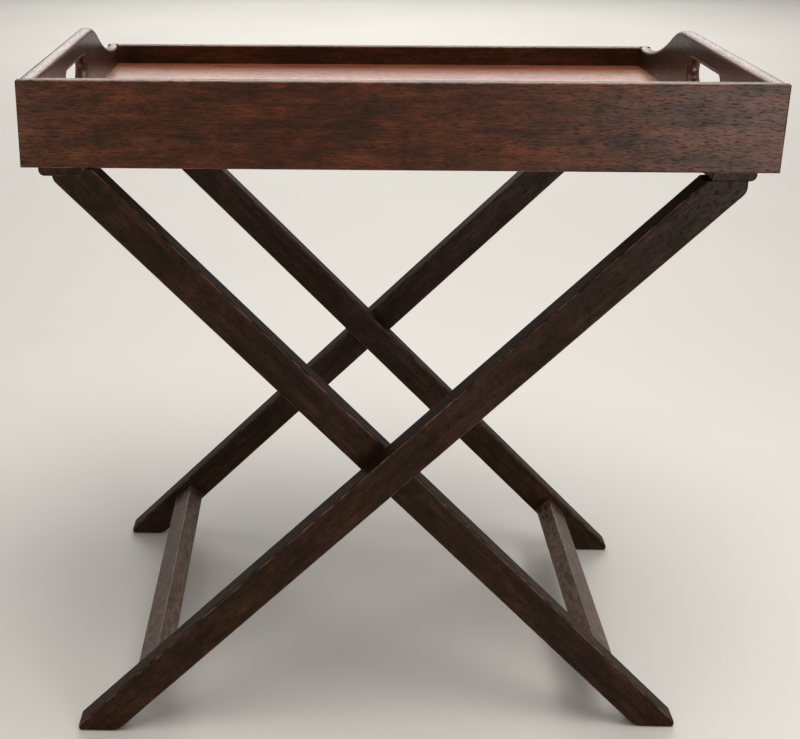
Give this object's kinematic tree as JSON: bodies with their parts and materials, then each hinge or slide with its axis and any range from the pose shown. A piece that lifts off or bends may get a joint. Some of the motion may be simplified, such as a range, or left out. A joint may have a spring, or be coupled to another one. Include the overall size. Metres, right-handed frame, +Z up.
{
  "type": "folding tray table",
  "caption": "Rectangular wooden tray with swept raised ends and hand slots, lying on a folding X-frame stand with webbing straps under the tray.",
  "frame": {"origin": "on the floor under the middle of the stand, with the stand open", "axes": "+X along the tray, towards the end that the outer frame carries; +Y across the tray, from the tall side to the low side; +Z up"},
  "size_m": [0.595, 0.478, 0.625],
  "materials": {
    "tray_wood": "satin lacquer over dark reddish-brown stain, grain along the board",
    "tray_end_wood": "satin lacquer over dark reddish-brown stain, grain across the tray",
    "panel_wood": "semi-gloss lacquer over dark reddish-brown stain, grain along the tray",
    "outer_leg_wood": "satin lacquer over dark brown stain, grain along the leg",
    "inner_leg_wood": "satin lacquer over dark brown stain, grain along the leg",
    "rail_wood": "satin lacquer over dark brown stain, grain along the rail",
    "stretcher_wood": "satin lacquer over dark brown stain, grain along the bar",
    "plug_wood": "satin lacquer over dark brown stain",
    "beech": "raw fluted hardwood",
    "steel": "zinc-plated",
    "brass": "aged",
    "spacer_plastic": "matte dark nylon",
    "webbing": "dark brown woven cotton webbing"
  },
  "bodies": {
    "outer_frame": {"outer_leg_front": "outer_leg_wood", "outer_leg_back": "outer_leg_wood", "outer_top_rail": "rail_wood", "outer_rail_screws": "steel", "outer_stretcher": "stretcher_wood", "outer_stretcher_dowels": "beech", "outer_strap_tacks": "brass", "pivot_bolts": "steel", "pivot_inserts": "brass", "pivot_spacers": "spacer_plastic", "strap_front": "webbing", "strap_back": "webbing"},
    "inner_frame": {"inner_leg_front": "inner_leg_wood", "inner_leg_back": "inner_leg_wood", "inner_top_rail": "rail_wood", "inner_rail_screws": "steel", "inner_stretcher": "stretcher_wood", "inner_stretcher_dowels": "beech", "inner_strap_tacks": "brass", "pivot_bushings": "brass", "pivot_head_washers": "brass", "pivot_plugs": "plug_wood"},
    "tray": {"tray_high_side": "tray_wood", "tray_low_side": "tray_wood", "tray_left_end": "tray_end_wood", "tray_right_end": "tray_end_wood", "tray_panel": "panel_wood", "tray_corner_pins": "steel"}
  },
  "joints": [
    {"name": "fold", "type": "hinge", "parent": "outer_frame", "child": "inner_frame", "pos_m": [0, 0, 0.27024], "axis": [0, 1, 0], "range_deg": [0, 78], "deforming": ["strap_front", "strap_back"]},
    {"name": "tray_lift", "type": "slide", "parent": "outer_frame", "child": "tray", "axis": [0, 0, 1], "range_m": [0, 0.463]}
  ],
  "couplings": [
    {"joint": "tray_lift", "follows": "fold", "m_per_rad": 0.34}
  ]
}
